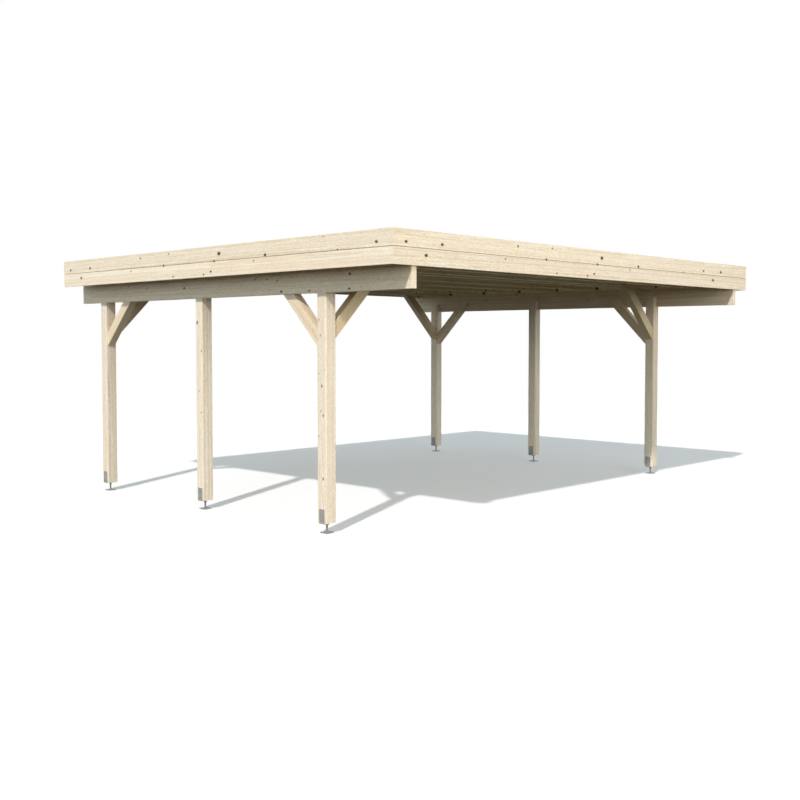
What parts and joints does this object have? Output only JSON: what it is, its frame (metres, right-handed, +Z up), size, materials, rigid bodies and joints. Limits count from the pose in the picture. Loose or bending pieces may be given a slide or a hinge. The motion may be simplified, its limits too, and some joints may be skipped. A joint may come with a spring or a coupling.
{
  "type": "carport",
  "caption": "Free-standing double carport in planed softwood: notched posts on steel feet, beams, knee braces, rafters and a flat roof with a two-board fascia.",
  "frame": {"origin": "on the ground under the middle of the roof's plan", "axes": "+X to the right across the entrance, +Y from the entrance to the back, +Z up"},
  "size_m": [6.28, 5.367, 2.657],
  "materials": {
    "timber": "planed, untreated, satin",
    "galvanised_steel": "hot-dip galvanised, dull",
    "roof_sheet": "matt"
  },
  "bodies": {
    "root": {"back_tie_rafter": "timber", "front_lower_fascia": "timber", "front_tie_rafter": "timber", "front_upper_fascia": "timber", "left_back_beam_brace": "timber", "left_back_cross_brace": "timber", "left_back_foot": "galvanised_steel", "left_back_post": "timber", "left_beam": "timber", "left_front_beam_brace": "timber", "left_front_cross_brace": "timber", "left_front_foot": "galvanised_steel", "left_front_post": "timber", "left_lower_fascia": "timber", "left_middle_foot": "galvanised_steel", "left_middle_post": "timber", "left_upper_fascia": "timber", "rafter_1": "timber", "rafter_2": "timber", "rafter_3": "timber", "rafter_4": "timber", "rafter_5": "timber", "rafter_6": "timber", "rafter_7": "timber", "rafter_8": "timber", "rafter_9": "timber", "right_back_beam_brace": "timber", "right_back_cross_brace": "timber", "right_back_foot": "galvanised_steel", "right_back_post": "timber", "right_beam": "timber", "right_front_beam_brace": "timber", "right_front_cross_brace": "timber", "right_front_foot": "galvanised_steel", "right_front_post": "timber", "right_lower_fascia": "timber", "right_middle_foot": "galvanised_steel", "right_middle_post": "timber", "right_upper_fascia": "timber", "roof_covering": "roof_sheet", "roof_deck": "timber"}
  },
  "joints": []
}
